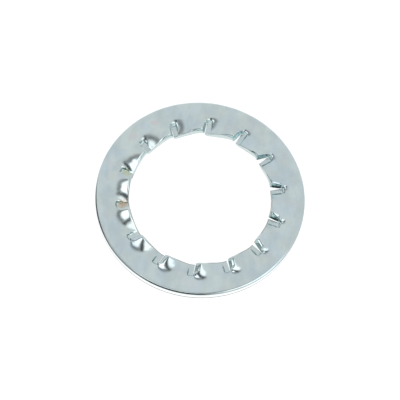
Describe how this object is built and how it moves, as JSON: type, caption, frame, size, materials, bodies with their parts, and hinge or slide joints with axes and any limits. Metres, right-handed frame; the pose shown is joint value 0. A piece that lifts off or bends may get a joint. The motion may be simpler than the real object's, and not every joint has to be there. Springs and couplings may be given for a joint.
{
  "type": "toothed lock washer",
  "caption": "Flat spring steel ring with narrow slots from the bore that leave a row of twisted inner teeth, one corner up and one down, to bite under a nut or screw head",
  "frame": {"origin": "centre of the bore, at the middle of the strip's thickness", "axes": "+Z along the bore, +Y along the middle of one slot, +X completes a right-handed frame"},
  "size_m": [0.038, 0.038, 0.003],
  "materials": {
    "zinc_plated_steel": "bright zinc plated"
  },
  "bodies": {
    "root": {"lock_washer": "zinc_plated_steel"}
  },
  "joints": []
}
